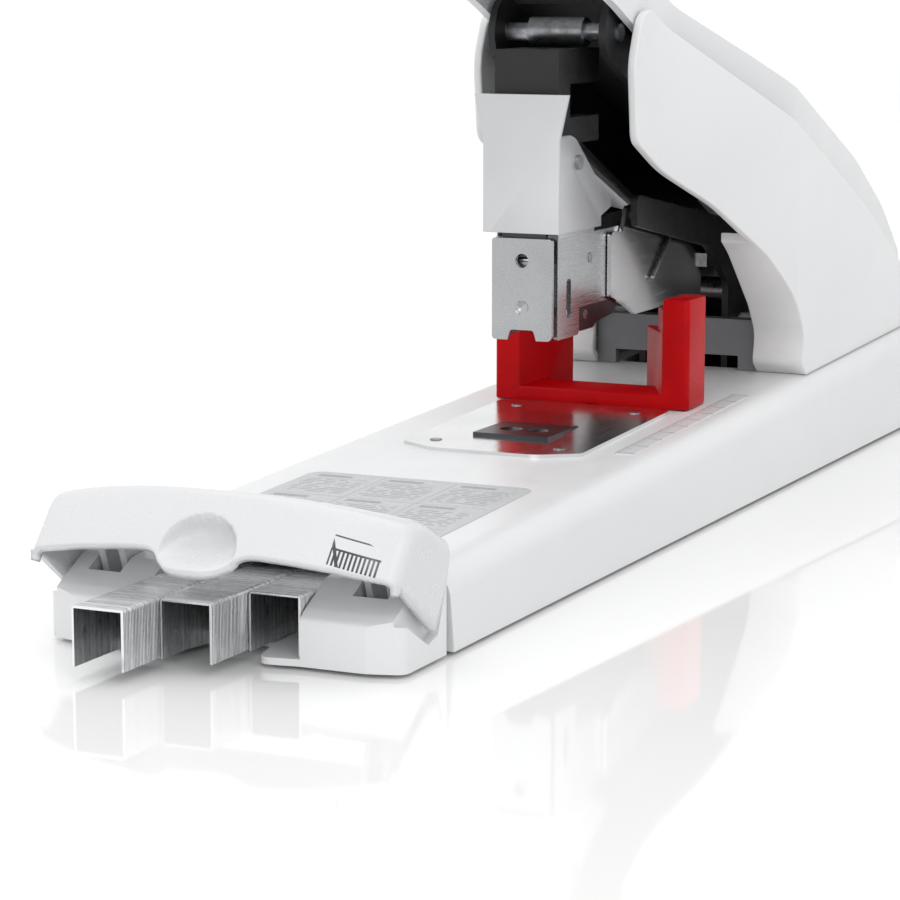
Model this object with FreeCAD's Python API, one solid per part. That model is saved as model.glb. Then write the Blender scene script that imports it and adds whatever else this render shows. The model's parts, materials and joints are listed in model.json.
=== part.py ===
# Heavy-duty block stapler with a front reserve bay for staple strips.
# Units are millimetres, +X is the object's right, +Y runs from front to rear, +Z is up.
# Stations along Y are measured from the front of the reserve bay; at export everything is moved
# so that the origin is the middle of the footprint.
import FreeCAD, Part
import math
import os

V = FreeCAD.Vector

# ---------------------------------------------------------------- driving dimensions
# staples
crown = 13.0            # outside width of a staple
leg_height = 13.6       # outside height of a staple
wire = 0.6              # thickness of the staple wire
strip_length = 62.0     # one strip of staples
strip_gap = 0.7         # space between strips lying side by side

# clearances
run_gap = 0.3           # between pieces that slide or swing past each other
pin_gap = 0.05          # radial clearance of a turning pin

# base
base_front = 24.0       # station of the base shell's front face
base_rear = 396.0
base_half = 45.5        # half the width of the base
base_wall = 2.4
foot_height = 1.0
plate_t = 1.6           # steel base plate
deck_rise = 2.0         # slope of the deck in degrees
shoulder_r = 7.0        # rounded top edge of the base

# reserve bay
pod_front = -2.5        # the pods' front face, measured from the station origin
pod_depth = 21.0
pod_height = 12.5
bay_floor = 2.6         # top of the bay's floor
tunnel_end = 100.0      # rear end of the bay
strip_front = (-30.0, -16.0, -1.0)
flap_wall = 2.0
flap_lean = 0.84        # how far the flap's front leans back per millimetre of height
flap_pivot = (17.0, 9.0)
flap_pin_r = 1.5

# anvil and paper stop
anvil_half = 26.0
anvil_front = 139.0
anvil_rear = 211.4
anvil_t = 0.9
die_rear = 179.0
stop_front = 214.0
stop_half = 29.8
stop_depth = 16.0
stop_height = 31.6
stop_forward = 2.0
stop_back = 30.0
slot_half = 2.0

# fixed frame
frame_t = 2.0
pillar_front = 284.0
pillar_rear = 384.0
pivot = (366.0, 56.0)   # rear pivot of the handle
pin_r = 4.0

# arm shells
arm_wall = 2.4
arm_front = 188.0       # the arms end here, beside the head
taper_front = 208.0     # the arms spread apart between these two stations
taper_rear = 268.0
flange_front = 250.0    # the inward flange starts here

# handle and lever
grip_half = 25.4
handle_wall = 2.5
lever_t = 2.0
lever_r = 9.0
roller_at = (190.0, 134.0)
roller_r = 4.0
roller_pin_r = 2.5

# head
nose_front = 165.0
nose_low = 52.0
plate_front_t = 1.3     # nose plate
blade_t = 1.0
magazine_t = 1.1
magazine_low = 59.4
magazine_rear = 276.0
guide_t = 1.2
housing_reach = 37.3    # how far the housing's side plates reach back from the nose
housing_t = 1.4
housing_high = 118.0

# ---------------------------------------------------------------- worked out from them
strip_pitch = crown + strip_gap
tray_half = crown / 2 + 1.2
magazine_half = tray_half + run_gap + magazine_t
housing_half = magazine_half + 1.9
frame_in = magazine_half + run_gap + guide_t + 1.8      # inner face of a frame plate
lever_in = frame_in + frame_t + 0.8
die_half = crown / 2 + 4.5
pod_half = base_half - 0.5
flap_half = base_half + 0.7
arm_half = base_half - 3.5
handle_half = arm_half - arm_wall - 2.6
deck_front = bay_floor + run_gap + leg_height + 1.9 + base_wall     # height of the deck's front
bay_half = 1.5 * crown + strip_gap + 0.4
middle = (base_rear + min(strip_front)) / 2
slope = math.tan(math.radians(deck_rise))
lever_slope = (roller_at[1] - pivot[1]) / (pivot[0] - roller_at[0])
lever_length = math.hypot(pivot[0] - roller_at[0], roller_at[1] - pivot[1])
floor_z = foot_height + plate_t
blade_front = nose_front + plate_front_t + run_gap
tray_front = blade_front + blade_t + run_gap
staple_z = magazine_low + 0.8
crown_z = staple_z + leg_height
nose_high = crown_z + 5.7
guide_in = magazine_half + run_gap
guide_front = nose_front + housing_reach + run_gap + 0.4
pin_half = lever_in + lever_t + 1.0
handle_front_half = pin_half + 3.0
arm_front_half = handle_front_half + 0.4 + arm_wall
arm_inner = arm_half - 16.0     # the flanges end here, and the lever passes between them
crosshead_low = nose_high + 25.0


def deck(y):
    """Height of the deck at station y."""
    return deck_front + (y - base_front) * slope


die_height = deck(die_rear) + 1.1


# ---------------------------------------------------------------- shape helpers
def box(x0, x1, y0, y1, z0, z1):
    return Part.makeBox(x1 - x0, y1 - y0, z1 - z0, V(x0, y0, z0))


def rounded_wire(points, place):
    """Closed outline through (a, b) or (a, b, r) points; r rounds the corner with an arc."""
    flat = [(V(p[0], p[1], 0), p[2] if len(p) > 2 else 0) for p in points]
    edges = []
    ends = []
    for i, (corner, radius) in enumerate(flat):
        before = flat[i - 1][0] - corner
        after = flat[(i + 1) % len(flat)][0] - corner
        if not radius:
            ends.append((corner, corner, None))
            continue
        half = before.getAngle(after) / 2
        reach = radius / math.tan(half)
        start = corner + V(before).normalize() * reach
        stop = corner + V(after).normalize() * reach
        towards = (V(before).normalize() + V(after).normalize()).normalize()
        centre = corner + towards * (radius / math.sin(half))
        ends.append((start, stop, centre - towards * radius))
    for i, (start, stop, mid) in enumerate(ends):
        if mid is not None:
            edges.append(Part.Arc(place(start), place(mid), place(stop)).toShape())
        following = ends[(i + 1) % len(ends)][0]
        if (following - stop).Length > 1e-4:
            edges.append(Part.LineSegment(place(stop), place(following)).toShape())
    return Part.Wire(edges)


def side_plate(points, x0, x1):
    """Outline in (Y, Z), carried along X from x0 to x1."""
    wire_ = rounded_wire(points, lambda p: V(x0, p.x, p.y))
    return Part.Face(wire_).extrude(V(x1 - x0, 0, 0))


def plan_plate(points, z0, z1, lean=0.0):
    """Outline in (X, Y), carried up from z0 to z1, leaning towards +Y by lean."""
    wire_ = rounded_wire(points, lambda p: V(p.x, p.y, z0))
    return Part.Face(wire_).extrude(V(0, lean, z1 - z0))


def front_plate(points, y0, y1):
    """Outline in (X, Z), carried along Y from y0 to y1."""
    wire_ = rounded_wire(points, lambda p: V(p.x, y0, p.y))
    return Part.Face(wire_).extrude(V(0, y1 - y0, 0))


def rod_x(y, z, r, x0, x1):
    return Part.makeCylinder(r, x1 - x0, V(x0, y, z), V(1, 0, 0))


def rod_y(x, z, r, y0, y1):
    return Part.makeCylinder(r, y1 - y0, V(x, y0, z), V(0, 1, 0))


def rod_z(x, y, r, z0, z1):
    return Part.makeCylinder(r, z1 - z0, V(x, y, z0))


def mirrored(shape):
    return shape.mirror(V(0, 0, 0), V(1, 0, 0))


def pair(shape):
    """The piece and its mirror image, as one group."""
    return Part.makeCompound([shape, mirrored(shape)])


def coil(radius, wire_r, length, turns, base, axis):
    """Helical spring of round wire, from base along axis."""
    pitch = length / turns
    helix = Part.makeHelix(pitch, length, radius)
    start = V(radius, 0, 0)
    run = V(0, 2 * math.pi * radius, pitch)
    section = Part.Wire([Part.Circle(start, run, wire_r).toShape()])
    spring = Part.Wire(helix.Edges).makePipeShell([section], True, True)
    spring.Placement = FreeCAD.Placement(base, FreeCAD.Rotation(V(0, 0, 1), axis))
    return spring


def soften(shape, radius, chosen):
    """Rounds the edges for which chosen(edge's bounding box) is true."""
    return shape.makeFillet(radius, [e for e in shape.Edges if chosen(e.BoundBox)])


# ---------------------------------------------------------------- base
def base_shell():
    def outline(inset):
        top = deck_front - inset / math.cos(math.radians(deck_rise))
        rear = base_rear - inset
        return [
            (base_front + inset, foot_height - (1 if inset else 0)),
            (rear, foot_height - (1 if inset else 0)),
            (rear, top + (rear - base_front) * slope),
            (base_front + inset - 3.0, top + (inset - 3.0) * slope),
        ]

    shell = side_plate(outline(0), -base_half, base_half)
    shell = soften(shell, shoulder_r, lambda b: b.ZMin > deck_front - 1 and b.YLength > 50)
    shell = soften(shell, 4.0, lambda b: b.YMin > base_rear - 0.1 and b.ZLength > 9)
    inside = side_plate(outline(base_wall), -base_half + base_wall, base_half - base_wall)
    shell = shell.cut(inside)
    low = foot_height - 1
    # the bay's tunnel enters through the front wall
    tunnel = bay_half + base_wall + run_gap
    rear = base_front + base_wall + 1
    shell = shell.cut(box(-tunnel, tunnel, base_front - 9, rear, low, deck_front - base_wall))
    # slot for the paper stop's tongue
    front, rear = stop_tongue()
    front -= stop_forward + 1.5
    rear += stop_back + 1.5
    shell = shell.cut(box(-slot_half, slot_half, front, rear, 15, 45))
    # opening for the frame and the lever
    lever_room = pin_half + 2.0
    shell = shell.cut(box(-lever_room, lever_room, pillar_front + 4, pillar_rear + 4, 20, 50))
    bosses = []
    for y in screw_rows():
        for x in (-boss_x(), boss_x()):
            post = rod_z(x, y, 4.0, floor_z, deck(y) - 1.0)
            bosses.append(post.cut(rod_z(x, y, 1.5, floor_z, floor_z + 10)))
    return shell.fuse(bosses)


def boss_x():
    return base_half - base_wall - 7.0


def screw_rows():
    return (base_front + 96, (base_front + base_rear) / 2 + 20, base_rear - 40)


def base_plate():
    edge = base_wall + run_gap
    half = base_half - edge
    beside = bay_half + base_wall + run_gap
    plate = box(-half, half, tunnel_end + 4, base_rear - edge, foot_height, floor_z)
    for x0, x1 in ((-half, -beside), (beside, half)):
        plate = plate.fuse(box(x0, x1, base_front + edge, tunnel_end + 4, foot_height, floor_z))
    for y in screw_rows():
        for x in (-boss_x(), boss_x()):
            plate = plate.cut(rod_z(x, y, 1.6, 0, floor_z + 1))
    return plate


def base_screws():
    screws = []
    for y in screw_rows():
        for x in (-boss_x(), boss_x()):
            head = rod_z(x, y, 2.8, foot_height - 0.8, foot_height)
            screws.append(head.fuse(rod_z(x, y, 1.45, foot_height - 0.1, floor_z + 9)))
    return Part.makeCompound(screws)


def rubber_feet():
    x = base_half - 14
    pads = []
    for y in (tunnel_end + 11, base_rear - 22):
        for side in (-x, x):
            pads.append(rod_z(side, y, 6.5, 0, foot_height))
    for side in (-30, 30):
        pads.append(rod_z(side, pod_depth - 9, 5.0, 0, foot_height))
    return Part.makeCompound(pads)


# ---------------------------------------------------------------- reserve bay
pod_inner = bay_half
pod_profile = [
    (pod_front, foot_height),
    (pod_front, pod_height - 1, 2.0),
    (pod_front + 3.0, pod_height + 1.0, 4.0),
    (pod_front + 13.0, pod_height + 6.0, 5.0),
    (pod_depth, pod_height + 7.0),
    (pod_depth, foot_height),
]


def rib_slots(x0, x1):
    """Room in a pod for the flap's hinge arms, on both sides."""
    low = flap_pivot[1] - 5.5
    return side_plate(
        [(3.0, 40), (6.0, 12), (10.0, low), (pod_depth - 1.0, low), (pod_depth + 3.0, 40)],
        x0, x1,
    )


hinge_x = (bay_half + 9.0, bay_half + 17.5)     # the pod's slot for the hinge arms


def reserve_cap():
    floor_plan = [
        (-pod_half, pod_front + 3.0, 3.0),
        (-pod_half + 9.0, pod_front + 0.8, 8.0),
        (-bay_half, pod_front),
        (-bay_half + 9.5, pod_front - 1.5, 3.0),
        (-bay_half + 13.0, 12.0, 7.0),
        (bay_half - 13.0, 12.0, 7.0),
        (bay_half - 9.5, pod_front - 1.5, 3.0),
        (bay_half, pod_front),
        (pod_half - 9.0, pod_front + 0.8, 8.0),
        (pod_half, pod_front + 3.0, 3.0),
        (pod_half, pod_depth),
        (-pod_half, pod_depth),
    ]
    floor = plan_plate(floor_plan, foot_height, bay_floor)
    side = bay_half + base_wall
    floor = floor.fuse(box(-side, side, pod_depth - 1, tunnel_end, foot_height, bay_floor))
    body = floor
    pod_plan = [
        (bay_half, pod_front - 1.0),
        (pod_half - 9.0, pod_front - 0.2, 8.0),
        (pod_half, pod_front + 2.5, 3.0),
        (pod_half, pod_depth),
        (bay_half, pod_depth),
    ]
    pod = plan_plate(pod_plan, foot_height, 40).common(side_plate(pod_profile, 0, 60))
    # the cheek of the flap swings down into this notch
    notch = side_plate(
        [(-5, 12.2), (1.0, 11.3), (11.5, 5.2), (16.5, 6.5), (19.0, 13.0), (19.0, 40), (-5, 40)],
        pod_half - 2.4, pod_half + 5,
    )
    pod = pod.cut(notch).cut(rib_slots(*hinge_x))
    pod = pod.cut(rod_x(*flap_pivot, flap_pin_r, hinge_x[0] - 4, hinge_x[1] + 4))
    wall = box(bay_half, side, pod_depth - 1, tunnel_end, foot_height, deck_front - base_wall - run_gap)
    body = body.fuse([pod, mirrored(pod), wall, mirrored(wall)])
    body = body.fuse(box(-side, side, tunnel_end - base_wall, tunnel_end, foot_height, 16))
    return body


def flap_outer(inset):
    """The flap's shell: a bowed front that leans back, a crowned top and two cheeks."""
    half = flap_half - inset
    reach = inset * 1.3
    foot = -6.0 + reach
    plan = [
        (-half, foot, 1.5),
        (-half * 0.65, foot - 5.6, 40.0),
        (-half * 0.3, foot - 9.2, 40.0),
        (half * 0.3, foot - 9.2, 40.0),
        (half * 0.65, foot - 5.6, 40.0),
        (half, foot, 1.5),
        (half, 60.0),
        (-half, 60.0),
    ]
    low, high = 2.0, 50.0
    leaning = plan_plate(plan, low, high, (high - low) * flap_lean)
    leaning.translate(V(0, (low - 22.0) * flap_lean, 0))
    crown_line = [
        (-70, -5),
        (70, -5),
        (70, 29.0 - inset),
        (half, 32.0 - inset, 10.0),
        (half * 0.6, 36.0 - inset, 60.0),
        (half * 0.25, 38.7 - inset, 60.0),
        (-half * 0.25, 38.7 - inset, 60.0),
        (-half * 0.6, 36.0 - inset, 60.0),
        (-half, 32.0 - inset, 10.0),
        (-70, 29.0 - inset),
    ]
    crowned = front_plate(crown_line, -40, 60)
    if inset:
        top = [
            (-40, -4), (-40, 42 - inset), (-4.0, 40.6 - inset),
            (18.0, 28.6 - inset, 2.0), (30.0, 22.5), (30, -4),
        ]
    else:
        top = [
            (-40, 4), (-40, 42), (-4.0, 40.6), (18.4, 28.4, 3.0), (20.4, 24.0, 2.0),
            (17.1, 14.5), (13.4, 8.2), (12.0, 8.6), (-5.0, 22.0), (-40, 22.0),
        ]
    return leaning.common(crowned).common(side_plate(top, -60, 60))


def reserve_flap():
    shell = flap_outer(0).cut(flap_outer(flap_wall))
    # the front's lower edge rises to the middle in a long arch
    arch = front_plate(
        [
            (-flap_half + 2.5, 0),
            (-flap_half + 2.5, 22.4),
            (-30, 24.6, 40),
            (-10.5, 26.7, 3),
            (-8.0, 22.0, 3),
            (8.0, 22.0, 3),
            (10.5, 26.7, 3),
            (30, 24.6, 40),
            (flap_half - 2.5, 22.4),
            (flap_half - 2.5, 0),
        ],
        -40, 60,
    )
    shell = shell.cut(arch)
    arms = []
    y, z = flap_pivot
    for x in (hinge_x[0] + 0.8, hinge_x[1] - 2.4):
        arm = side_plate(
            [
                (4.0, 33.0), (11.5, 9.5), (y - 3.6, z - 3.4, 2),
                (y + 3.4, z - 3.4, 3), (y + 3.2, z + 3), (17.5, 29.0),
            ],
            x, x + 1.6,
        )
        arm = arm.common(flap_outer(0).fuse(box(-60, 60, -30, 60, 0, 25)))
        arms.append(arm.cut(rod_x(y, z, flap_pin_r + pin_gap, x - 1, x + 3)))
    for arm in list(arms):
        arms.append(mirrored(arm))
    return shell.fuse(arms)


def flap_pins():
    return pair(rod_x(*flap_pivot, flap_pin_r, hinge_x[0] - 4, hinge_x[1] + 4))


def staple_strip(x, y0, y1, z):
    """A glued strip of staples: a long inverted channel."""
    half = crown / 2
    outer = box(x - half, x + half, y0, y1, z, z + leg_height)
    return outer.cut(box(x - half + wire, x + half - wire, y0 - 1, y1 + 1, z - 1, z + leg_height - wire))


def reserve_strip(index):
    x = (index - 1) * strip_pitch
    y = strip_front[index]
    return staple_strip(x, y, y + strip_length, bay_floor + run_gap)


def on_deck(x0, x1, y0, y1, low, high):
    """A slab that follows the deck's slope, from low to high above it."""
    return side_plate(
        [(y0, deck(y0) + low), (y1, deck(y1) + low), (y1, deck(y1) + high), (y0, deck(y0) + high)],
        x0, x1,
    )


def info_label():
    label = on_deck(-31, 31, base_front + 5, tunnel_end + 3.5, 0, 0.2)
    return soften(label, 4.0, lambda b: b.XLength < 0.01 and b.YLength < 0.2 and b.ZLength < 0.5)


def depth_scale():
    return on_deck(32.5, 37.5, anvil_front + 13, stop_front + 31, 0, 0.2)


# ---------------------------------------------------------------- anvil and paper stop
def anvil_plate():
    corner = anvil_front + 6.0
    plan = [
        (-anvil_half, corner, 2.0),
        (-15.0, anvil_front, 12.0),
        (15.0, anvil_front, 12.0),
        (anvil_half, corner, 2.0),
        (anvil_half, anvil_rear, 3.0),
        (-anvil_half, anvil_rear, 3.0),
    ]
    plate = plan_plate(plan, 10, 50).common(on_deck(-60, 60, 100, 260, 0, anvil_t))
    plate = plate.cut(box(-die_half, die_half, die_front(), die_rear, 10, 50))
    return plate.cut(rivet_posts(1.65, 1.5))


def die_front():
    return blade_front - 9.0


def rivet_posts(r, sunk):
    """Rivets of the anvil plate, or the holes for them."""
    rivets = []
    for x in (-anvil_half + 8.0, anvil_half - 8.0):
        for y in (anvil_front + 10.0, anvil_rear - 8.0):
            rivets.append(rod_z(x, y, r, deck(y) + 0.1 - sunk, deck(y) + anvil_t + 0.2))
    return Part.makeCompound(rivets)


def anvil_rivets():
    return rivet_posts(1.6, 0)


def anvil_die():
    y0, y1 = die_front(), die_rear
    die = side_plate([(y0, deck(y0)), (y1, deck(y1)), (y1, die_height), (y0, die_height)], -die_half, die_half)
    # two pairs of grooves curl the legs
    y = blade_front + blade_t / 2
    for x in (-crown / 4 - 0.6, crown / 4 + 0.6):
        die = die.cut(Part.makeSphere(4.6, V(x, y, die_height + 3.4)))
    return die


def stop_tongue():
    """Front and rear of the tongue that runs in the deck's slot."""
    return (stop_front + 2.0, stop_front + 14.0)


def paper_stop():
    """Two uprights with slanted wings, joined by a low bar that runs on the deck."""
    lift = run_gap
    y0 = stop_front
    y1 = stop_front + stop_depth
    low = deck(y0) + lift
    top = deck(y0) + stop_height
    post_in = stop_half - 7.8
    wing_in = magazine_half + 2.6
    post = plan_plate(
        [(post_in, y0), (stop_half, y0, 1.5), (stop_half, y1, 3.0), (post_in, y1)], low, top
    )
    wing = plan_plate([(post_in, y0), (post_in, y1), (wing_in, y1), (wing_in, y1 - 1.2)], low, top - 9.5)
    high_wing = plan_plate(
        [(post_in, y0), (post_in, y1), (post_in - 4.4, y1), (post_in - 4.4, y0 + 8.0)], low, top - 3.2
    )
    upright = post.fuse([wing, high_wing])
    slanted = side_plate(
        [(y0 - 1, 0), (y1 + 9, 0), (y1 + 9, deck(y1 + 9) + lift), (y0 - 1, deck(y0 - 1) + lift)],
        -60, 60,
    )
    bar = side_plate(
        [(y0, low), (y0 + 7.0, low), (y0 + 7.0, low + 5.6), (y0 + 5.5, low + 5.6), (y0, low + 4.0)],
        -post_in - 1, post_in + 1,
    )
    front, rear = stop_tongue()
    under = base_wall + 2 * run_gap
    tongue = box(-slot_half + run_gap, slot_half - run_gap, front, rear, low - under - 1, low + 1.0)
    tie = box(-slot_half - 3, slot_half + 3, front, rear, low, low + 3.0)
    shoe = side_plate(
        [
            (front, deck(front) - under), (rear, deck(rear) - under),
            (rear, deck(rear) - under - 2), (front, deck(front) - under - 2),
        ],
        -6, 6,
    )
    body = upright.fuse([mirrored(upright), bar, tie]).cut(slanted)
    return body.fuse([tongue, shoe])


# ---------------------------------------------------------------- fixed frame
def web_under(y):
    """Height that the lever's web comes down to when the handle is pressed."""
    return pivot[1] + (pivot[0] - y) * 0.167 + lever_r


def frame_plate():
    y, z = pivot
    tip = nose_front + 48.0
    points = [
        (pillar_front + 6, floor_z),
        (pillar_rear, floor_z),
        (pillar_rear, z + 8, 8.0),
        (y, z + 12, 10.0),
        (y - 16, web_under(y - 16) - 2.0),
        (tip, web_under(tip) - 2.2, 2.0),
        (tip, web_under(tip) - 11.0, 2.0),
        (pillar_front - 12, web_under(pillar_front) - 10.0, 8.0),
        (pillar_front + 6, 56.0, 6.0),
    ]
    plate = side_plate(points, frame_in, frame_in + frame_t)
    for hole_y, hole_z in boss_spots:
        plate = plate.cut(rod_x(hole_y, hole_z, 1.6, 0, 60))
    return plate.cut(rod_x(y, z, pin_r, 0, 60))


spacer_spots = ((pillar_front + 44, 20.0), (pillar_rear - 10, 18.0), (pillar_front + 20, 52.0))


def frame_spacers():
    rods = []
    for y, z in spacer_spots:
        rods.append(rod_x(y, z, 4.0, -frame_in, frame_in))
    return Part.makeCompound(rods)


def frame_brackets():
    outer = frame_in + frame_t
    foot = box(outer, outer + 12, pillar_front + 12, pillar_rear - 4, floor_z, floor_z + 2.5)
    wall = box(outer, outer + 2.5, pillar_front + 12, pillar_rear - 4, floor_z, floor_z + 12)
    return pair(foot.fuse(wall))


def frame_bolts():
    outer = frame_in + frame_t
    bolts = []
    for y in (pillar_front + 22, pillar_rear - 14):
        bolts.append(rod_z(outer + 8.0, y, 3.6, floor_z + 2.5, floor_z + 6))
        bolts.append(rod_x(y, floor_z + 8, 2.6, outer + 2.5, outer + 4.2))
    return pair(Part.makeCompound(bolts))


def guide_outline():
    rear = magazine_rear
    return [
        (guide_front, 60.4, 1.0),
        (guide_front + 11, 57.0, 12.0),
        (guide_front + 19, 53.5, 2.0),
        (rear, 53.5, 2.0),
        (rear, 72.0, 2.0),
        (nose_front + 70, 76.0),
        (nose_front + 66, web_under(nose_front + 58) - 4.0, 2.0),
        (nose_front + 50, web_under(nose_front + 58) - 4.0, 2.0),
        (nose_front + 47, 78.0),
        (guide_front, 78.5, 1.5),
    ]


guide_spots = ((nose_front + 58.0, 82.5), (magazine_rear - 8.0, 69.5))


def guide_plate():
    return side_plate(guide_outline(), guide_in, guide_in + guide_t)


def guide_posts():
    """Short spacers that carry the guide plates on the frame plates, and the cross tie behind."""
    y, z = guide_spots[0]
    front = rod_x(y, z, 2.4, guide_in + guide_t, frame_in)
    tie_y = magazine_rear + run_gap + 4.0
    tie = box(guide_in, frame_in, magazine_rear, tie_y + 12.0, 62.0, 66.0)
    return front, tie


def guide_spacers():
    front, tie = guide_posts()
    return Part.makeCompound([front, mirrored(front), tie, mirrored(tie)])


def latch_spring():
    """Bent wire that snaps over the guide plate."""
    r = 0.7
    x = guide_in + guide_t + 0.75
    y = nose_front + 82.0
    top = web_under(y) - r - 1.2
    path = [
        V(x, y - 14, top - 20), V(x, y, top - 9), V(x, y + 4, top - 4), V(x, y + 1, top), V(x, y - 5, top - 1),
    ]
    pieces = []
    for a, b in zip(path, path[1:]):
        pieces.append(Part.makeCylinder(r, (b - a).Length, a, b - a))
        pieces.append(Part.makeSphere(r, b))
    pieces.append(Part.makeSphere(r, path[0]))
    return pieces[0].fuse(pieces[1:])


# ---------------------------------------------------------------- arm shells and pillar
def arm_outline():
    """Side view of the arm: foot on the deck, curved throat, long arm rising to the front."""
    front = arm_front
    return [
        (284.0, deck(pillar_front)),
        (279.5, deck(pillar_front) + 3.6, 3.0),
        (281.5, 42.0, 8.0),
        (275.0, 51.0, 20.0),
        (256.0, 68.5, 30.0),
        (232.0, 84.0, 60.0),
        (front, 104.5, 5.0),
        (front - 2.5, 126.0, 16.0),
        (front + 5.0, 142.5, 8.0),
        (263.3, 109.7, 80.0),
        (345.5, 74.9, 60.0),
        (381.0, 55.7, 12.0),
        (pillar_rear + 9.0, 42.0, 10.0),
        (pillar_rear + 10.0, deck(pillar_rear + 10.0)),
    ]


def arm_plan(inset):
    """Plan of the arm's outside, moved in by inset: narrow beside the head, wide over the base."""
    narrow = arm_front_half - inset
    wide = arm_half - inset
    return [
        (-5.0, 100.0),
        (narrow, 100.0),
        (narrow, taper_front, 40.0),
        (wide, taper_rear, 40.0),
        (wide, 420.0),
        (-5.0, 420.0),
    ]


def arm_shell():
    room = plan_plate(arm_plan(arm_wall), -10, 250)
    outer = side_plate(arm_outline(), 0, arm_half).common(plan_plate(arm_plan(0), -10, 250))
    face = Part.Face(rounded_wire(arm_outline(), lambda p: V(0, p.x, p.y)))
    inner = face.OuterWire.makeOffset2D(-arm_wall)
    cavity = Part.Face(inner).extrude(V(arm_half, 0, 0)).common(room)
    shell = outer.cut(cavity)
    # in front of the flange only the skin is left; behind it the flanges end beside the lever
    shell = shell.cut(box(-1, arm_half, 0, flange_front, 0, 250).common(room))
    shell = shell.cut(box(-1, arm_inner, flange_front - 1, pillar_rear, 0, 200))
    shell = shell.cut(box(-1, pin_half + 8, pillar_rear - 1, pillar_rear + 12, 46.5, 200))
    # the long top edge is open for the handle
    open_top = side_plate(
        [(205, 128), (262, 102), (345, 67), (378, 49.5), (384, 46.5), (400, 46.5), (400, 170), (205, 170)],
        -1, arm_half,
    )
    shell = shell.cut(open_top.common(room))
    # the foot rests on the deck
    shell = shell.cut(on_deck(-60, 60, 200, 420, -60, 0))
    bosses = []
    for y, z in boss_spots:
        boss = rod_x(y, z, 4.0, frame_in + frame_t, arm_half - arm_wall + 0.4)
        bosses.append(boss.cut(rod_x(y, z, 1.5, 0, frame_in + frame_t + 12)))
    return shell.fuse(bosses)


boss_spots = ((pillar_front + 18, 41.5), (pillar_front + 54, 41.0), (pillar_rear - 7, 40.0))


def arm_screws():
    screws = []
    for y, z in boss_spots:
        screws.append(rod_x(y, z, 1.45, frame_in - 1.5, frame_in + frame_t + 10))
        screws.append(rod_x(y, z, 3.0, frame_in - 1.6, frame_in))
    fused = []
    for i in range(0, len(screws), 2):
        fused.append(screws[i].fuse(screws[i + 1]))
    return pair(Part.makeCompound(fused))


def pillar_cover():
    y = pillar_front
    cover = box(-arm_inner, arm_inner, y - 0.0, y + 2.4, deck(y) + 4.5, 45.5)
    tabs = box(-arm_inner, arm_inner, y + 2.4, y + 6.0, 41.0, 45.5)
    feet = box(arm_inner - 6, arm_inner, y, y + 2.4, deck(y + 2.4), deck(y) + 5)
    return cover.fuse([tabs, feet, mirrored(feet)])


# ---------------------------------------------------------------- handle
handle_top = [
    (397.0, 56.0, 4.0),
    (376.0, 73.5, 60.0),
    (345.0, 91.0, 80.0),
    (262.0, 125.0, 200.0),
    (180.0, 157.0, 150.0),
    (110.0, 177.0, 100.0),
    (70.0, 180.0, 8.0),
    (60.0, 172.0, 5.0),
]


def handle_outline():
    bottom = [
        (66.0, 163.0, 8.0),
        (112.0, 165.0, 60.0),
        (180.0, 141.0, 100.0),
        (262.0, 105.0, 100.0),
        (345.0, 71.0, 60.0),
        (378.0, 52.5, 10.0),
        (390.0, 46.0, 4.0),
    ]
    return handle_top + bottom


def handle_plan(inset):
    """Plan of the handle, moved in by inset: a grip, a waist between the arms, a wide rear."""
    half_plan = [
        (grip_half - inset, 55.0, 14.0),
        (grip_half - inset, 146.0, 20.0),
        (handle_front_half - inset, 166.0, 20.0),
        (handle_front_half - inset, taper_front + 15.0, 30.0),
        (handle_half - inset, taper_rear + 15.0, 30.0),
        (handle_half - inset, 405.0),
    ]
    other = [(-p[0], *p[1:]) for p in reversed(half_plan)]
    return half_plan + other


def handle_shell():
    side = side_plate(handle_outline(), -60, 60)
    outer = plan_plate(handle_plan(0), 0, 250).common(side)
    inner_line = rounded_wire(handle_outline(), lambda p: V(-60, p.x, p.y)).makeOffset2D(-handle_wall)
    inner = Part.Face(inner_line).extrude(V(120, 0, 0))
    inner = inner.fuse(inner.translated(V(0, -1.0, -8.0))).fuse(inner.translated(V(0, -2.0, -16.0)))
    inner = inner.fuse(inner.translated(V(0, -3.0, -30.0)))
    core = plan_plate(handle_plan(handle_wall), -10, 250)
    core = core.cut(box(-60, 60, 0, 55.0 + 6.0 + handle_wall, -10, 250))
    shell = outer.cut(inner.common(core))
    ribs = []
    for y in (215.0, 250.0, 285.0, 320.0):
        rib = side_plate([(y, web_top(y)), (y + 2, web_top(y + 2)), (y + 2, 200), (y, 200)], -12, 12)
        ribs.append(rib.common(side))
    return shell.fuse(ribs)


def web_top(y):
    """Height of the lever's upper face at rest."""
    return pivot[1] + (pivot[0] - y) * lever_slope + (lever_r + lever_t) / math.cos(math.atan(lever_slope))


def along_lever(d, h):
    """Point at distance d from the pivot towards the roller, h above the line between them."""
    c = (pivot[0] - roller_at[0]) / lever_length
    s = (roller_at[1] - pivot[1]) / lever_length
    return (pivot[0] - d * c + h * s, pivot[1] + d * s + h * c)


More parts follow.
